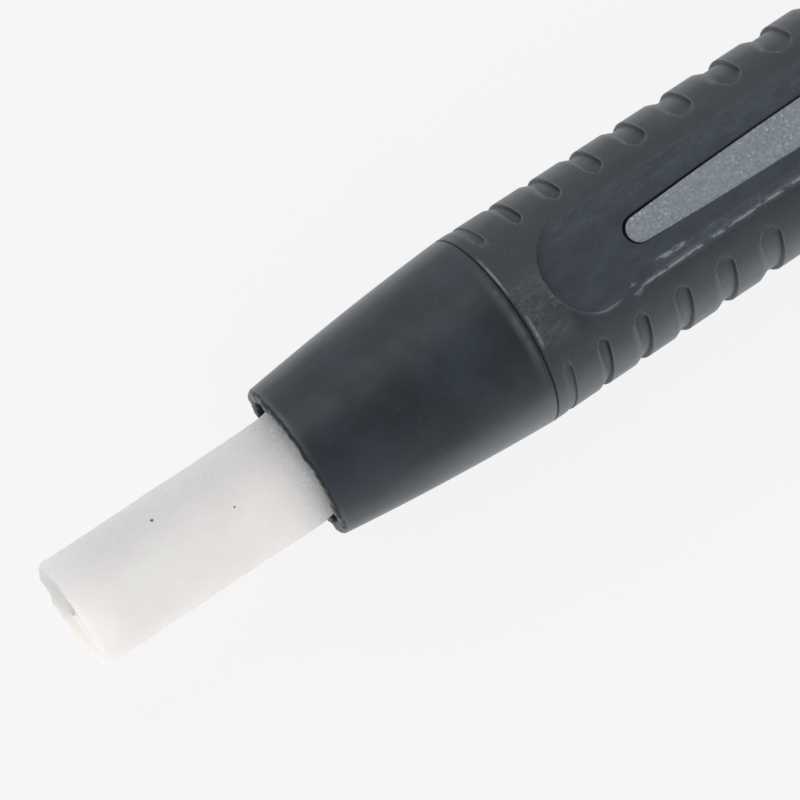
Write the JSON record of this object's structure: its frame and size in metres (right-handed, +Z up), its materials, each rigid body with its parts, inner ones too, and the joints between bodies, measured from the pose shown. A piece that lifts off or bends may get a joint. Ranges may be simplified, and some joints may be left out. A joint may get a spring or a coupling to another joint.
{
  "type": "lens cleaning pen",
  "caption": "Pen-shaped holder that clutches a white lens cleaning stick, with scooped rubber grip, push button and spring clip.",
  "frame": {"origin": "middle of the pen's length and width, on the surface it lies on", "axes": "+X along the pen from the cleaning stick to the push button, +Z up through the top inlay and the clip, +Y across"},
  "size_m": [0.1302, 0.0122, 0.0157],
  "materials": {
    "stick": "translucent white compound with a fine glitter",
    "soft_touch": "matte soft-touch coating, dark slate",
    "grip_rubber": "matte moulded rubber, lightly scuffed",
    "inlay": "silver-grey metallic paint with glitter",
    "trim": "satin",
    "tube_metal": "drawn",
    "brass": "turned",
    "barrel_plastic": "moulded",
    "spring_steel": "drawn wire",
    "seal_rubber": "black"
  },
  "bodies": {
    "barrel": {"nose_cone": "soft_touch", "stick_retainer_ring": "seal_rubber", "clutch_ring": "brass", "front_barrel": "barrel_plastic", "grip_sleeve": "grip_rubber", "top_inlay": "inlay", "bottom_inlay": "inlay", "centre_ring": "trim", "barrel_o_ring": "seal_rubber", "rear_barrel": "soft_touch", "tail_collar": "soft_touch", "spring_washer": "spring_steel", "return_spring": "spring_steel", "clip_pin": "spring_steel", "clip_spring": "spring_steel"},
    "plunger": {"chuck": "brass", "carrier_tube": "tube_metal", "tube_plug": "brass", "pusher_rod": "spring_steel", "push_button": "soft_touch", "button_disc": "inlay"},
    "stick": {"cleaning_stick": "stick"},
    "clip": {"clip_arm": "inlay"}
  },
  "joints": [
    {"name": "button_press", "type": "slide", "parent": "barrel", "child": "plunger", "axis": [-1, 0, 0], "range_m": [0, 0.002], "stiffness_N_per_m": 400, "springref_m": -0.003, "deforming": ["return_spring"]},
    {"name": "stick_feed", "type": "slide", "parent": "plunger", "child": "stick", "axis": [-1, 0, 0], "range_m": [-0.0155, 0.04]},
    {"name": "clip_open", "type": "hinge", "parent": "barrel", "child": "clip", "pos_m": [0.04211, 0, 0.0141], "axis": [0, 1, 0], "range_deg": [0, 10], "stiffness_Nm_per_rad": 0.05, "springref_deg": -11.46, "deforming": ["clip_spring"]}
  ]
}
